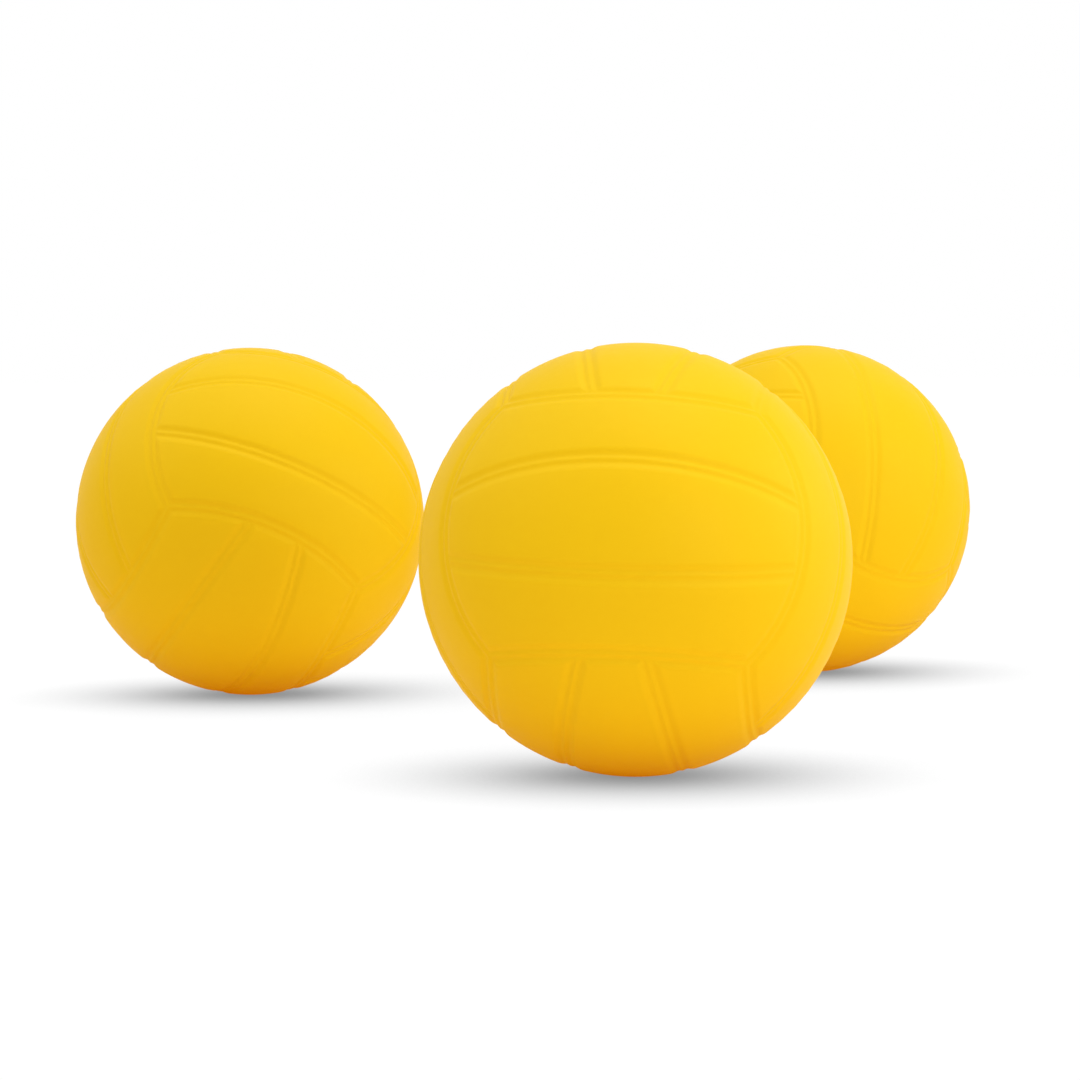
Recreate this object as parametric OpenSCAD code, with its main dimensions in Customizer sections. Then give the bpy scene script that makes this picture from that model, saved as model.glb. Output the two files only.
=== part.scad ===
// Three inflated volleyballs of one kind, standing loose on a floor. Each ball is a moulded rubber
// cover over a nylon winding and a butyl bladder, with a rubber valve. Millimetres, +Z up; the
// origin is the point of the floor under the front ball.

/* [Ball] */
// Outside diameter of an inflated ball
ball_d = 210; // [160:1:260]
// Thickness of the moulded rubber cover
cover_t = 2; // [1.6:0.1:4]
// Thickness of the nylon winding
winding_t = 0.4; // [0.3:0.1:1.2]
// Thickness of the bladder's wall
bladder_t = 0.6; // [0.4:0.1:1.5]
// Thickness of the latex film between two layers
film_t = 0.1; // [0.05:0.05:0.3]
// How far a ball is pressed flat where it stands
sit_depth = 0.15; // [0.05:0.05:0.4]

/* [Seams] */
// Angle across the middle strip of a panel, at its widest
strip_angle = 30.2; // [24:0.2:36]
// Lean of the two inner seams of a panel
strip_lean = 16.5; // [8:0.1:24]
// Lean of the two long edges of a panel
edge_lean = 2.7; // [0:0.1:6]
// Distance between the two grooves of a seam
groove_pitch = 4.4; // [3:0.1:7]
// Radius of a groove's round bottom
groove_r = 3.6; // [3:0.1:5]
// Depth of a groove
groove_depth = 0.9; // [0.6:0.05:1.2]

/* [Valve] */
// Diameter of the inflating needle
needle_d = 2; // [1.6:0.1:2.6]
// Depth of the needle's hole
needle_depth = 13; // [8:0.5:18]
// Width of the funnel that leads the needle in
mouth_d = 3.4; // [2.8:0.1:5]
// Depth of that funnel
mouth_depth = 0.8; // [0.3:0.1:1.5]
// Rubber that closes the needle's hole
core_floor = 2.5; // [1.5:0.5:5]
// Diameter of the valve core
core_d = 4.6; // [3.8:0.1:6]
// Diameter of the core's head
core_head_d = 6.4; // [6.2:0.1:8]
// Height of the core's head
core_head_h = 1.4; // [0.8:0.1:2.5]
// Depth of the core's face below the boot's face
core_sink = 0.2; // [0.1:0.1:0.6]
// Gap between the core and the boot
core_gap = 0.05; // [0.02:0.01:0.15]
// Diameter of the boot's stem
boot_d = 10; // [9.5:0.1:14]
// Rubber below the core in the boot's stem
boot_floor = 1.5; // [1:0.5:4]
// Depth of the boot's face below the ball's surface
boot_sink = 0.4; // [0.2:0.1:0.8]
// Diameter of the boot's flange inside the bladder
flange_d = 34; // [20:1:50]
// Thickness of the boot's flange
flange_t = 1; // [0.6:0.1:2]
// Air passage in the boot's floor, wider than the needle by
passage_play = 0.6; // [0.2:0.1:1.2]
// Radius of the ring moulded round the valve
ring_r = 1.2; // [0.8:0.1:2]
// Height of that ring above the ball's surface
ring_h = 0.3; // [0.1:0.1:0.6]

/* [Set] */
// Left ball's place to the side of the front ball
left_x = -221; // [-400:1:-180]
// Left ball's place behind the front ball
left_y = 449; // [300:1:600]
// Right ball's place to the side of the front ball
right_x = 125; // [100:1:400]
// Right ball's place behind the front ball
right_y = 587; // [300:1:800]

/* [Hidden] */
$fn = 200;

// How each ball lies: turns about X, Y and Z, in that order
front_turn = [75.4, 1.8, -7.3];
left_turn = [53.9, 24.2, 12.9];
right_turn = [30, -53.9, 96];

front_spot = [0, 0];
left_spot = [left_x, left_y];
right_spot = [right_x, right_y];

// Radii of the layers, from the outside in
ball_r = ball_d / 2;
cover_in = ball_r - cover_t;
winding_out = cover_in - film_t;
winding_in = winding_out - winding_t;
bladder_out = winding_in - film_t;
bladder_in = bladder_out - bladder_t;
flange_out = bladder_in - film_t;
flange_in = flange_out - flange_t;

// Levels along the valve, measured from the ball's centre
boot_top = ball_r - boot_sink;
core_top = boot_top - core_sink;
core_end = core_top - needle_depth - core_floor;
boot_end = core_end - core_gap - boot_floor;
hole_d = boot_d + 2 * film_t;

// The ring round the valve's hole
ring_at = hole_d / 2 + ring_r;
ring_level = sqrt(pow(ball_r, 2) - pow(ring_at, 2)) + ring_h - ring_r;

// A seam lies on a circle of the ball. Its latitude is that circle's height as an angle, and its
// arc is half of the length that is used. The panels' corners are the corners of a cube.
corner = sqrt(1 / 3);
edge_lat = asin(corner * (cos(edge_lean) - sin(edge_lean)));
edge_arc = asin(corner / cos(edge_lat));
strip_lat = strip_angle / 2 - strip_lean;

// An inner seam ends where it crosses the long edge of the next panel
cross_a = cos(strip_lat) * cos(edge_lean) * cos(strip_lean);
cross_b = cos(strip_lat) * sin(edge_lean);
cross_c = sin(edge_lat) + sin(strip_lat) * cos(edge_lean) * sin(strip_lean);
strip_arc = acos(cross_c / norm([cross_a, cross_b])) - atan2(cross_b, cross_a);

// The two grooves of a seam lie this angle to each side of it. Where three seams meet, grooves
// cross by corner_run; an inner seam's grooves stop strip_stop short of the groove they join.
corner_run = 0.5;
strip_stop = 0.45;
groove_shift = asin(groove_pitch / 2 / ball_r);
groove_at = ball_r - groove_depth + groove_r;
edge_trim = groove_shift / tan(60) - asin(corner_run / ball_r);
strip_trim = groove_shift + asin(strip_stop / ball_r);

// Every groove of a ball: the turn that brings its panel round, then latitude, lean and arc
GROOVES = [
    for (third = [0, 120, 240], flip = [0, 180], half = [0, 180], side = [-1, 1])
        each [
            [third, flip, half, edge_lat + side * groove_shift, edge_lean, edge_arc - edge_trim],
            [third, flip, half, strip_lat + side * groove_shift, strip_lean, strip_arc - strip_trim]
        ]
];

// Puts a ball's piece on its spot, turned as the ball lies
module place(spot, turn) {
    translate([spot[0], spot[1], ball_r - sit_depth])
        rotate(turn)
            children();
}

// The panel that faces +Z is turned onto one of the six sides of the ball
module onto_side(third, flip, half) {
    rotate(a = third, v = [1, 1, 1])
        rotate([flip, 0, half])
            children();
}

// One round-bottomed groove along its circle
module groove(third, flip, half, lat, lean, arc) {
    onto_side(third, flip, half)
        rotate([-90 - lean, 0, 0])
            translate([0, 0, groove_at * sin(lat)])
                rotate([0, 0, -90 - arc])
                    rotate_extrude(angle = 2 * arc)
                        translate([groove_at * cos(lat), 0])
                            circle(groove_r);
}

// A solid ball with the first grooves of the list cut into it, one after the other
module carved_ball(cuts) {
    if (cuts == 0)
        sphere(ball_r);
    else
        difference() {
            carved_ball(cuts - 1);
            let (g = GROOVES[cuts - 1])
                groove(g[0], g[1], g[2], g[3], g[4], g[5]);
        }
}

// The valve is in the middle strip of the panel that faces -Z
module along_valve() {
    rotate([180, 0, 0])
        children();
}

module valve_hole() {
    along_valve()
        cylinder(h = ball_d, d = hole_d);
}

module valve_ring() {
    along_valve()
        translate([0, 0, ring_level])
            rotate_extrude()
                translate([ring_at, 0])
                    circle(ring_r);
}

module cover(spot, turn) {
    color("gold")
        difference() {
            place(spot, turn)
                difference() {
                    union() {
                        carved_ball(len(GROOVES));
                        valve_ring();
                    }
                    sphere(cover_in);
                    valve_hole();
                }
            translate([spot[0] - ball_r, spot[1] - ball_r, -ball_d])
                cube([ball_d, ball_d, ball_d]);
        }
}

// A closed shell under the cover, with the hole for the valve
module layer(outer, inner) {
    difference() {
        sphere(outer);
        sphere(inner);
        valve_hole();
    }
}

module winding(spot, turn) {
    color("ivory")
        place(spot, turn)
            layer(winding_out, winding_in);
}

module bladder(spot, turn) {
    color("dimgray")
        place(spot, turn)
            layer(bladder_out, bladder_in);
}

// A dished flange, bonded inside the bladder
module boot_flange() {
    intersection() {
        difference() {
            sphere(flange_out);
            sphere(flange_in);
        }
        cylinder(h = ball_r, d = flange_d);
    }
}

module valve_boot(spot, turn) {
    color("black")
        place(spot, turn)
            along_valve()
                difference() {
                    union() {
                        translate([0, 0, boot_end])
                            cylinder(h = boot_top - boot_end, d = boot_d);
                        boot_flange();
                    }
                    translate([0, 0, core_end - core_gap])
                        cylinder(h = ball_r, d = core_d + 2 * core_gap);
                    translate([0, 0, core_top - core_head_h - core_gap])
                        cylinder(h = ball_r, d = core_head_d + 2 * core_gap);
                    cylinder(h = ball_r, d = needle_d + passage_play);
                }
}

module valve_core(spot, turn) {
    color("dimgray")
        place(spot, turn)
            along_valve()
                difference() {
                    union() {
                        translate([0, 0, core_end])
                            cylinder(h = core_top - core_end, d = core_d);
                        translate([0, 0, core_top - core_head_h])
                            cylinder(h = core_head_h, d = core_head_d);
                    }
                    translate([0, 0, core_top - needle_depth])
                        cylinder(h = ball_r, d = needle_d);
                    translate([0, 0, core_top - mouth_depth])
                        cylinder(h = mouth_depth, d1 = needle_d, d2 = mouth_d);
                }
}

cover(front_spot, front_turn);  // front_cover
winding(front_spot, front_turn);  // front_winding
bladder(front_spot, front_turn);  // front_bladder
valve_boot(front_spot, front_turn);  // front_valve_boot
valve_core(front_spot, front_turn);  // front_valve_core
cover(left_spot, left_turn);  // left_cover
winding(left_spot, left_turn);  // left_winding
bladder(left_spot, left_turn);  // left_bladder
valve_boot(left_spot, left_turn);  // left_valve_boot
valve_core(left_spot, left_turn);  // left_valve_core
cover(right_spot, right_turn);  // right_cover
winding(right_spot, right_turn);  // right_winding
bladder(right_spot, right_turn);  // right_bladder
valve_boot(right_spot, right_turn);  // right_valve_boot
valve_core(right_spot, right_turn);  // right_valve_core
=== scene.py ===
# Three inflated volleyballs of one kind, standing loose on a floor. What shows of each is its cover;
# the winding, the bladder and the rubber valve come from the frame and lie inside it.
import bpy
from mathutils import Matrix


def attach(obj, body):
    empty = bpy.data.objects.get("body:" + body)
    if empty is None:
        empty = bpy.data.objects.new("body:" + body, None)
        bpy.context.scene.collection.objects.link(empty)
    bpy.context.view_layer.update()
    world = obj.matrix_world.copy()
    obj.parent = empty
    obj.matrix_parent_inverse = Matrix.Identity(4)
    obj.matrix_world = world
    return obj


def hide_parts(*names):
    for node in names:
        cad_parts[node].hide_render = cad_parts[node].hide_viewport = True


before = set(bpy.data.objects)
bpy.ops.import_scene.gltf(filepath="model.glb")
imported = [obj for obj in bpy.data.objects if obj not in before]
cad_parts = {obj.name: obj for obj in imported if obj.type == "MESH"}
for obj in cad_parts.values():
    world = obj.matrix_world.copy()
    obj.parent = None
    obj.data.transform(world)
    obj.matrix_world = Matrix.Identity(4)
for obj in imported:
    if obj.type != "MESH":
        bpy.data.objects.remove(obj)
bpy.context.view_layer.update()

import math

import bpy
import numpy as np
from mathutils import Euler, Matrix, Vector

# ---- Covers ------------------------------------------------------------------------------------
# A cover is one skin of rubber, 2 mm thick, cured in a mould over the winding. Its seams are
# moulded in: shallow valleys with a low ridge in the middle, laid out as 18 strips in six panels of
# three. All six panels are alike, so one is shaped on top of the ball and turned to each side.
BALL_R = 0.10497
INSIDE_R = 0.103
BALL_LEVEL = 0.10485     # the middle of a ball above the floor, as it stands
GROOVE_APART = 0.0020    # from a seam's middle line to the bottom of either groove
GROOVE_DEPTH = 0.0009
VALLEY = 0.0039          # how far the valley reaches from that line
RIDGE = 0.0016           # how far the ridge does
RIDGE_SHARE = 0.58       # height of the ridge, as a share of the bare valley's depth
BAND = 0.0065            # half the width of a seam, with its soft shoulders
SEAM_STEPS = 20          # faces across a seam
STRIP_STEPS = 6          # faces across the rubber between two seams
MERGE = 0.00002          # points closer than this are joined
SHARP = 35               # degrees between two faces from which an edge stays sharp
CORNER = math.sqrt(1 / 3)


def seam_circle(lean, height):
    """The plane of a seam along X: its normal, and its distance from the middle of a ball of radius 1."""
    lean = np.radians(np.asarray(lean, float))
    normal = np.stack([0 * lean, np.cos(lean), -np.sin(lean)], -1)
    return normal, np.sin(np.radians(height))


# An edge between two panels and an inner seam of a panel, each as a lean and a height in degrees.
# The edges meet in the corners of a cube.
EDGE_LEAN, STRIP_LEAN = 2.7, 16.5
STRIP_ANGLE = 30.2       # across the middle strip, at its widest
END_SLANT = 30           # off square, where a panel's end meets its long edge
EDGE_HEIGHT = math.degrees(math.asin(
    CORNER * (math.cos(math.radians(EDGE_LEAN)) - math.sin(math.radians(EDGE_LEAN)))))
STRIP_HEIGHT = STRIP_ANGLE / 2 - STRIP_LEAN

# Lines along the strips, from the middle of the panel to its long edge: close together on a seam's
# grooves and further apart on the smooth rubber between them
band_angle = math.degrees(BAND / BALL_R)
strip_middle = STRIP_HEIGHT + STRIP_LEAN
edge_middle = EDGE_HEIGHT + EDGE_LEAN
lines = []
for share in np.linspace(0, 1, STRIP_STEPS, endpoint=False):
    lean = STRIP_LEAN * share
    lines.append((lean, (strip_middle - band_angle) * share - lean))
for offset in np.linspace(-band_angle, band_angle, SEAM_STEPS + 1):
    lines.append((STRIP_LEAN, STRIP_HEIGHT + offset))
for share in np.linspace(0, 1, STRIP_STEPS + 1)[1:-1]:
    lean = STRIP_LEAN + (EDGE_LEAN - STRIP_LEAN) * share
    reach = (strip_middle + band_angle) * (1 - share) + (edge_middle - band_angle) * share
    lines.append((lean, reach - lean))
for offset in np.linspace(-band_angle, 0, SEAM_STEPS // 2 + 1):
    lines.append((EDGE_LEAN, EDGE_HEIGHT + offset))
lines = np.array(lines)
lines = np.concatenate([-lines[:0:-1], lines])
LINES = len(lines)
along_normal, along_height = seam_circle(lines[:, 0], lines[:, 1])


def crossing(normal_1, height_1, normal_2, height_2, towards):
    """Where two circles of the ball of radius 1 cross, on the side given."""
    both = (normal_1 * normal_2).sum(-1)
    share_1 = (height_1 - both * height_2) / (1 - both ** 2)
    share_2 = (height_2 - both * height_1) / (1 - both ** 2)
    across = np.cross(normal_1, normal_2)
    flat = share_1[..., None] * normal_1 + share_2[..., None] * normal_2
    rest = 1 - share_1 ** 2 - share_2 ** 2 - 2 * share_1 * share_2 * both
    rise = np.sqrt(np.maximum(rest, 0) / (across ** 2).sum(-1))[..., None] * across
    return np.where(((rise * towards).sum(-1) > 0)[..., None], flat + rise, flat - rise)


# Lines across the strips. A panel's short end is its neighbour's long edge, so these start on the
# long edge at the points where the neighbour's own lines along its strips arrive there. They swing
# round from square in the middle of the panel to the lie of its end, and keep that lie as far as
# the end's seam covers the long edge.
edge_normal, edge_sine = seam_circle(EDGE_LEAN, EDGE_HEIGHT)
end_normal = edge_normal[[2, 0, 1]]
arrivals = crossing(along_normal, along_height, np.tile(end_normal, (LINES, 1)),
                    np.full(LINES, edge_sine), np.array([1.0, 0, 0]))
starts = arrivals[:, [1, 2, 0]]
arc = np.arctan2(starts[:, 0], np.hypot(starts[:, 1], starts[:, 2]))
covered = BAND / BALL_R / math.cos(math.radians(END_SLANT))
swing = np.clip(arc / (arc[-1] - covered), -1, 1)
turn = -math.radians(90 - EDGE_LEAN) * swing
across_normal = np.stack([np.cos(turn), 0 * turn, np.sin(turn)], -1)
across_height = (starts * across_normal).sum(-1)

grid = (LINES, LINES, 3)
panel = crossing(
    np.broadcast_to(along_normal[None], grid), np.broadcast_to(along_height[None], grid[:2]),
    np.broadcast_to(across_normal[:, None], grid), np.broadcast_to(across_height[:, None], grid[:2]),
    np.array([0, 0, 1.0]))


def seam_gap(points, lean, height, mirror):
    """How far points of the panel lie from a seam and from its mirror image, whichever is nearer."""
    normal, level = seam_circle(lean, height)
    if mirror == 0:
        normal = normal[[2, 0, 1]] * [1, 0, 1]
    gaps = []
    for side in (1, -1):
        facing = normal.copy()
        facing[mirror] *= side
        gaps.append(np.abs(np.arcsin(np.clip(points @ facing, -1, 1)) - math.asin(level)))
    return BALL_R * np.minimum(*gaps)


def seam_shape(gap):
    """A seam's section: the valley, less the ridge in it."""
    return np.exp(-(gap / VALLEY) ** 3) - RIDGE_SHARE * np.exp(-(gap / RIDGE) ** 2)


def groove_depth(gap):
    return GROOVE_DEPTH * seam_shape(gap) / seam_shape(GROOVE_APART)


# The depth of the grooves at each point. Where seams meet, the one that goes past is whole and the
# other stops at its near groove.
long_gap = seam_gap(panel, EDGE_LEAN, EDGE_HEIGHT, 1)
end_gap = seam_gap(panel, EDGE_LEAN, EDGE_HEIGHT, 0)
strip_gap = seam_gap(panel, STRIP_LEAN, STRIP_HEIGHT, 1)
border_gap = np.minimum(long_gap, end_gap)
border_depth = np.where(border_gap < GROOVE_APART, groove_depth(border_gap),
                        np.maximum(groove_depth(long_gap), groove_depth(end_gap)))
depth = np.where(border_gap < GROOVE_APART, border_depth,
                 np.maximum(border_depth, groove_depth(strip_gap)))
panel *= (BALL_R - depth)[..., None]

# The panel starts as a flat sheet whose points move to their places on the ball
bpy.ops.object.select_all(action="DESELECT")
bpy.ops.mesh.primitive_grid_add(x_subdivisions=LINES - 1, y_subdivisions=LINES - 1, size=2)
ball = bpy.context.object
ball.name = "front_ball_cover"
flat = np.array([v.co for v in ball.data.vertices])
column, row = (np.rint((flat[:, k] + 1) / 2 * (LINES - 1)).astype(int) for k in (0, 1))
ball.data.vertices.foreach_set("co", panel[column, row].ravel())
groove_mark = ball.data.attributes.new("groove", "FLOAT", "POINT")
groove_mark.data.foreach_set("value", (depth / GROOVE_DEPTH)[column, row].astype(np.float32))

# Its five copies are turned to the other sides, and the borders are joined
sides = [ball]
for third in (0, 120, 240):
    for flip in (0, 180):
        if third or flip:
            bpy.ops.object.select_all(action="DESELECT")
            ball.select_set(True)
            bpy.context.view_layer.objects.active = ball
            bpy.ops.object.duplicate()
            side = bpy.context.object
            side.data.transform(Matrix.Rotation(math.radians(third), 4, (1, 1, 1))
                                @ Matrix.Rotation(math.radians(flip), 4, "X"))
            sides.append(side)
for side in sides:
    side.select_set(True)
bpy.context.view_layer.objects.active = ball
bpy.ops.object.join()
bpy.ops.object.mode_set(mode="EDIT")
bpy.ops.mesh.select_all(action="SELECT")
bpy.ops.mesh.remove_doubles(threshold=MERGE)
bpy.ops.object.mode_set(mode="OBJECT")

# The valve's place, straight down: a round opening is cut there, and the ring, the hole's wall and
# the inside of the cover are turned in one piece from their outline
HOLE_R = 0.0051
LIP = ((0.00006, 0.00005), (0, 0.00018))    # the hole's rounded lip: how far out, how far in
RING_AT, RING_H, RING_SPREAD = 0.0063, 0.0003, 0.0006
RING_FOOT, RING_END = 0.0080, 0.0053        # where the ring's outline starts and ends
RING_STEPS = 19
OPENING_R = 0.009
OPENING_MARGIN = 0.0035                     # left between the panel and the opening, then bridged
OPENING_STEPS = 64
INSIDE_STEPS = 40
ball_mesh = ball.data
for face in ball_mesh.polygons:
    x, y, z = face.center
    face.select = z < 0 and math.hypot(x, y) < OPENING_R + OPENING_MARGIN
for group in (ball_mesh.vertices, ball_mesh.edges):
    for part in group:
        part.select = False
bpy.ops.object.mode_set(mode="EDIT")
bpy.ops.mesh.select_mode(type="FACE")
bpy.ops.mesh.delete(type="FACE")
bpy.ops.object.mode_set(mode="OBJECT")

outline = []
for out in np.r_[OPENING_R, np.linspace(RING_FOOT, RING_END, RING_STEPS)]:
    ring = RING_H * math.exp(-((out - RING_AT) / RING_SPREAD) ** 2)
    outline.append((out, 0, -(math.sqrt(BALL_R ** 2 - out ** 2) + ring)))
rim = -outline[-1][2]
outline += [(HOLE_R + out, 0, inward - rim) for out, inward in LIP]
first = math.asin(HOLE_R / INSIDE_R)
for angle in np.linspace(first, math.pi, INSIDE_STEPS):
    outline.append((INSIDE_R * math.sin(angle), 0, -INSIDE_R * math.cos(angle)))
outline[-1] = (0, 0, INSIDE_R)
inside_mesh = bpy.data.meshes.new("inside")
inside_mesh.from_pydata(outline, [(k, k + 1) for k in range(len(outline) - 1)], [])
inside = bpy.data.objects.new("inside", inside_mesh)
bpy.context.collection.objects.link(inside)
bpy.ops.object.select_all(action="DESELECT")
inside.select_set(True)
bpy.context.view_layer.objects.active = inside
bpy.ops.object.mode_set(mode="EDIT")
bpy.ops.mesh.select_all(action="SELECT")
bpy.ops.mesh.spin(steps=OPENING_STEPS, angle=2 * math.pi, center=(0, 0, 0), axis=(0, 0, 1))
bpy.ops.mesh.select_all(action="SELECT")
bpy.ops.mesh.remove_doubles(threshold=MERGE)
bpy.ops.object.mode_set(mode="OBJECT")

# The two are bridged round the opening into one closed skin
ball.select_set(True)
bpy.context.view_layer.objects.active = ball
bpy.ops.object.join()
bpy.ops.object.mode_set(mode="EDIT")
bpy.ops.mesh.select_mode(type="EDGE")
bpy.ops.mesh.select_all(action="DESELECT")
bpy.ops.mesh.select_non_manifold(extend=False, use_wire=False, use_boundary=True,
                                 use_multi_face=False, use_non_contiguous=False, use_verts=False)
bpy.ops.mesh.bridge_edge_loops()
bpy.ops.mesh.select_all(action="SELECT")
bpy.ops.mesh.normals_make_consistent(inside=False)
bpy.ops.object.mode_set(mode="OBJECT")
bpy.ops.object.shade_smooth_by_angle(angle=math.radians(SHARP))


class Wire:
    """An output of a material's node. Arithmetic on it adds Math nodes; node() adds any other."""

    def __init__(self, tree, socket=None):
        self.tree, self.socket = tree, socket

    def node(self, kind, settings, values, output=0):
        added = self.tree.nodes.new(kind)
        for name, setting in settings.items():
            setattr(added, name, setting)
        for name, value in values.items():
            socket = self.find(added.inputs, name)
            if isinstance(value, Wire):
                self.tree.links.new(value.socket, socket)
            else:
                socket.default_value = value
        return Wire(self.tree, self.find(added.outputs, output))

    def find(self, sockets, name):
        if isinstance(name, int):
            return sockets[name]
        return next(s for s in sockets if name in (s.identifier, s.name))

    def maths(self, operation, first, second):
        return self.node("ShaderNodeMath", {"operation": operation}, {0: first, 1: second})

    def __add__(self, other):
        return self.maths("ADD", self, other)

    def __sub__(self, other):
        return self.maths("SUBTRACT", self, other)

    def __rsub__(self, other):
        return self.maths("SUBTRACT", other, self)

    def __mul__(self, other):
        return self.maths("MULTIPLY", self, other)

    __radd__, __rmul__ = __add__, __mul__

    def clouds(self, place, scale, detail=2.0):
        """Soft random patches, from about -1 to 1."""
        noise = self.node("ShaderNodeTexNoise", {},
                          {"Vector": place, "Scale": scale, "Detail": detail}, "Fac")
        return noise * 4 - 2

    def blend(self, share, first, second):
        """A colour between two others."""
        return self.node("ShaderNodeMix", {"data_type": "RGBA"},
                         {"Factor_Float": share, "A_Color": first, "B_Color": second}, "Result_Color")

    def bump(self, strength, distance, height):
        return self.node("ShaderNodeBump", {},
                         {"Strength": strength, "Distance": distance, "Height": height}, "Normal")


def new_finish(name):
    """An empty material, the start of its nodes, and the place on the piece."""
    finish = bpy.data.materials.new(name)
    finish.use_nodes = True
    finish.node_tree.nodes.clear()
    start = Wire(finish.node_tree)
    return finish, start, start.node("ShaderNodeTexCoord", {}, {}, "Object")


def close_finish(start, shader, end="ShaderNodeOutputMaterial"):
    """Joins the shader to the end of the nodes."""
    start.tree.links.new(shader.socket, start.tree.nodes.new(end).inputs["Surface"])


# Bright yellow rubber with a satin skin: faint clouds in the colour, a deeper tone in the grooves that is
# partly dust and partly painted shade, and the fine grain that the mould leaves
YELLOW = (0.79, 0.51, 0.0058, 1)
DEEP_YELLOW = (0.73, 0.39, 0.002, 1)
cover_finish, start, place = new_finish("moulded_yellow_rubber")
groove = start.node("ShaderNodeAttribute", {"attribute_name": "groove"}, {}, "Fac")
patches = start.clouds(place, 14.0, 3.0)
specks = start.clouds(place, 260.0)
grain = start.clouds(place, 2400.0)
# The groove share darkens the seams' hollows: painted shade, with a little dust
tint = start.blend(groove * 0.02 + patches * 0.05 + specks * 0.03 + 0.10, YELLOW, DEEP_YELLOW)
rough = 0.5 + patches * 0.02 + specks * 0.02 + groove * 0.04
bump = start.bump(0.12, 0.0001, specks * 0.4 + grain * 0.6)
close_finish(start, start.node("ShaderNodeBsdfPrincipled", {}, {
    "Base Color": tint, "Roughness": rough, "Specular IOR Level": 0.055, "Normal": bump}))
ball_mesh.materials.append(cover_finish)

# Each ball is the same moulding, turned as it lies and pressed flat where it stands. Given are its
# spot on the floor, and its turns about X, Y and Z in degrees.
BALLS = {
    "front": ((0, 0), (75.4, 1.8, -7.3)),
    "left": ((-0.221, 0.449), (53.9, 24.2, 12.9)),
    "right": ((0.125, 0.587), (30, -53.9, 96)),
}
covers = {}
for which in BALLS:
    cover = ball
    if which != "front":
        cover = ball.copy()
        cover.data = ball.data.copy()
        bpy.context.collection.objects.link(cover)
    cover.name = cover.data.name = which + "_ball_cover"
    covers[which] = cover

for which, (spot, turns) in BALLS.items():
    cover = covers[which]
    cover.data.transform(Matrix.Translation((*spot, BALL_LEVEL))
                         @ Euler([math.radians(a) for a in turns]).to_matrix().to_4x4())
    for vertex in cover.data.vertices:
        vertex.co.z = max(vertex.co.z, 0)
    cover.data.update()
    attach(cover, which + "_ball")
    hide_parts(which + "_cover")

# ---- Windings ----------------------------------------------------------------------------------
# A winding is nylon thread, wound round the bladder in all directions and set in latex. It shows
# as fine pale bands that cross each other, with the latex between them.
LATEX = (0.46, 0.40, 0.27, 1)
THREAD = (0.78, 0.74, 0.62, 1)


def dress(node_end, finish):
    """Gives the finish to that piece of all three balls."""
    for which in BALLS:
        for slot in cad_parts[which + node_end].material_slots:
            slot.material = finish


winding_finish, start, place = new_finish("nylon_thread_in_latex")
bands = [start.node("ShaderNodeTexWave", {"bands_direction": axis},
                    {"Vector": place, "Scale": 420.0, "Distortion": 1.5, "Detail": 1.0,
                     "Detail Scale": 0.2}, "Fac") for axis in "XYZ"]
threads = start.maths("MAXIMUM", start.maths("MAXIMUM", bands[0], bands[1]), bands[2])
tint = start.blend(threads, LATEX, THREAD)
bump = start.bump(0.5, 0.0002, threads)
close_finish(start, start.node("ShaderNodeBsdfPrincipled", {}, {
    "Base Color": tint, "Roughness": 0.8 - threads * 0.2, "Normal": bump}))
dress("_winding", winding_finish)

# ---- Bladders ----------------------------------------------------------------------------------
# A bladder is a thin ball of black butyl rubber, dusted with talc so that it doesn't stick to
# itself in the mould.
BUTYL = (0.022, 0.020, 0.020, 1)
TALC = (0.10, 0.095, 0.09, 1)
bladder_finish, start, place = new_finish("talced_butyl")
talc = start.clouds(place, 60.0, 4.0) + start.clouds(place, 900.0)
tint = start.blend(talc * 0.25 + 0.3, BUTYL, TALC)
close_finish(start, start.node("ShaderNodeBsdfPrincipled", {}, {
    "Base Color": tint, "Roughness": 0.78 + talc * 0.06}))
dress("_bladder", bladder_finish)

# ---- Valve boots -------------------------------------------------------------------------------
# A boot is moulded from firm black rubber and bonded inside the bladder by its flange. Its face
# shows in the cover's hole, slightly dusty.
FIRM_RUBBER = (0.018, 0.017, 0.016, 1)
DUST = (0.05, 0.047, 0.042, 1)
boot_finish, start, place = new_finish("firm_black_rubber")
dust = start.clouds(place, 500.0, 3.0)
grain = start.clouds(place, 3000.0)
tint = start.blend(dust * 0.3 + 0.35, FIRM_RUBBER, DUST)
bump = start.bump(0.15, 0.00008, grain)
close_finish(start, start.node("ShaderNodeBsdfPrincipled", {}, {
    "Base Color": tint, "Roughness": 0.6 + dust * 0.06, "Normal": bump}))
dress("_valve_boot", boot_finish)

# ---- Valve cores -------------------------------------------------------------------------------
# A core is a plug of softer, slightly glossy rubber, oiled when it goes in, with the funnel and
# the hole that the inflating needle enters.
SOFT_RUBBER = (0.035, 0.031, 0.027, 1)
WORN_RUBBER = (0.075, 0.066, 0.056, 1)
core_finish, start, place = new_finish("soft_dark_rubber")
wear = start.clouds(place, 700.0, 3.0)
tint = start.blend(wear * 0.3 + 0.4, SOFT_RUBBER, WORN_RUBBER)
close_finish(start, start.node("ShaderNodeBsdfPrincipled", {}, {
    "Base Color": tint, "Roughness": 0.42 + wear * 0.05}))
dress("_valve_core", core_finish)
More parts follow.
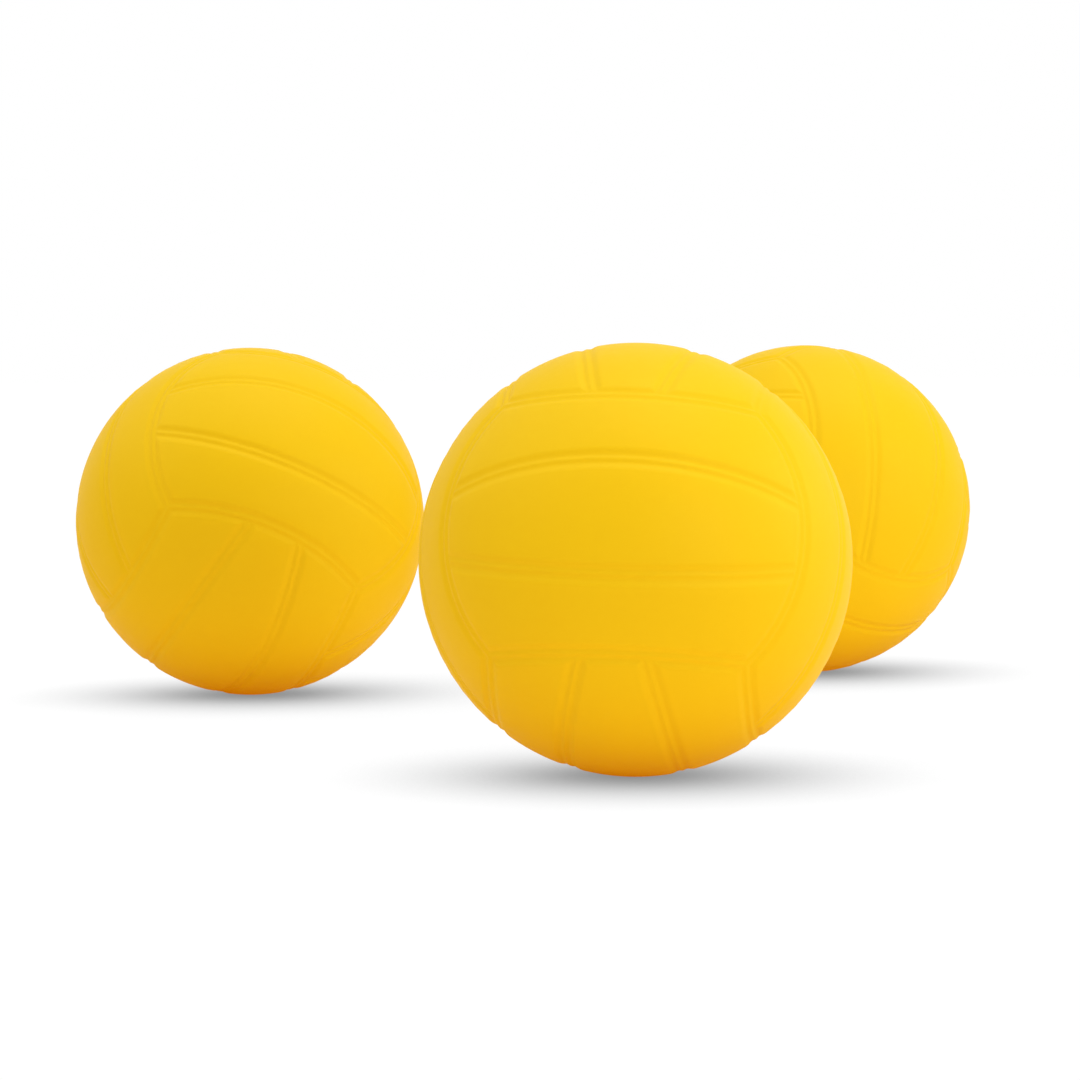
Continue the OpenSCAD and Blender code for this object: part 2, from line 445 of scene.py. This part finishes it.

# ---- Floor, light and camera -------------------------------------------------------------------
# A plain white floor under soft light from above, as in a light tent, with two large round lamps on
# the right. Close to the balls the floor shows a painted shadow, darker where it sees less of the
# tent, and to the balls it glows with a painted warm light that the camera doesn't see.
FLOOR_SIZE = 60
PAPER = (0.68, 0.70, 0.62, 1)
WARM_LIGHT = (0.37, 0.165, 0, 1)
SHADE_REACH = 1.0                 # how far off a ball still hides the tent from a point of the floor
OPEN_SHARE, DARKEST = 0.92, 0.28  # what the open tent adds to the floor's white, and what it adds to
FLOOR_WHITE = 1.02                # the most that the floor's white may be
TENT_LIGHT = 0.46
LAMP_SIZE = 0.9
AIM = Vector((0, 0.3, 0.1))       # between the three balls
bpy.ops.object.select_all(action="DESELECT")
bpy.ops.mesh.primitive_plane_add(size=FLOOR_SIZE)
floor = bpy.context.object
floor.name = "floor"
floor_finish, start, _ = new_finish("white_floor")
paper = start.node("ShaderNodeBsdfDiffuse", {}, {"Color": PAPER})
# Painted warm light: the floor glows up at the balls, though it is no lamp
warmth = start.node("ShaderNodeEmission", {}, {"Color": WARM_LIGHT, "Strength": 1})
open_sky = start.node("ShaderNodeAmbientOcclusion", {"samples": 16}, {"Distance": SHADE_REACH}, "AO")
# Painted shadow: the white that the camera sees drops where little of the tent reaches the floor
white = start.maths("MINIMUM", open_sky * OPEN_SHARE + DARKEST, FLOOR_WHITE)
shadow = start.node("ShaderNodeEmission", {}, {"Color": (1, 1, 1, 1), "Strength": white})
seen = start.node("ShaderNodeLightPath", {}, {}, "Is Camera Ray")
bounce_and_glow = start.node("ShaderNodeAddShader", {}, {0: paper, 1: warmth})
close_finish(start, start.node("ShaderNodeMixShader", {}, {0: seen, 1: bounce_and_glow, 2: shadow}))
floor.data.materials.append(floor_finish)

scene = bpy.context.scene
scene.view_settings.view_transform = "Standard"
world = bpy.data.worlds.new("tent")
scene.world = world
world.use_nodes = True
world.node_tree.nodes.clear()
start = Wire(world.node_tree)
ray = [start.node("ShaderNodeLightPath", {}, {}, kind)
       for kind in ("Is Camera Ray", "Is Glossy Ray", "Is Transmission Ray")]
plain = start.maths("MAXIMUM", start.maths("MAXIMUM", ray[0], ray[1]), ray[2])
shade = start.node("ShaderNodeBackground", {}, {
    "Color": (1, 1, 1, 1), "Strength": plain * (1 - TENT_LIGHT) + TENT_LIGHT})
close_finish(start, shade, "ShaderNodeOutputWorld")

for name, energy, spread, lean in (("top", 1.44, 50, 10), ("upper_left", 0.92, 60, -40)):
    bpy.ops.object.light_add(type="SUN", location=(1, -1, 2), rotation=(0, math.radians(lean), 0))
    lamp = bpy.context.object
    lamp.name = name
    lamp.data.energy = energy
    lamp.data.angle = math.radians(spread)
for name, energy, spot in (("right", 4.7, (1.2, 0.1, 0.6)), ("front_right", 8.5, (1.0, -1.4, 0.7))):
    away = Vector(spot) - AIM
    bpy.ops.object.light_add(type="AREA", location=spot,
                             rotation=away.to_track_quat("Z", "Y").to_euler())
    lamp = bpy.context.object
    lamp.name = name
    lamp.data.energy = energy
    lamp.data.shape = "DISK"
    lamp.data.size = LAMP_SIZE

# The camera stands 1.8 m in front of the front ball, a little lower than the ball's top
bpy.ops.object.camera_add(location=(-0.0469, -1.7909, 0.2029),
                          rotation=[math.radians(a) for a in (87.179, 0.322, -0.043)])
camera = bpy.context.object
camera.data.sensor_fit = "HORIZONTAL"
camera.data.sensor_width = 36
camera.data.lens = 123.45
scene.camera = camera
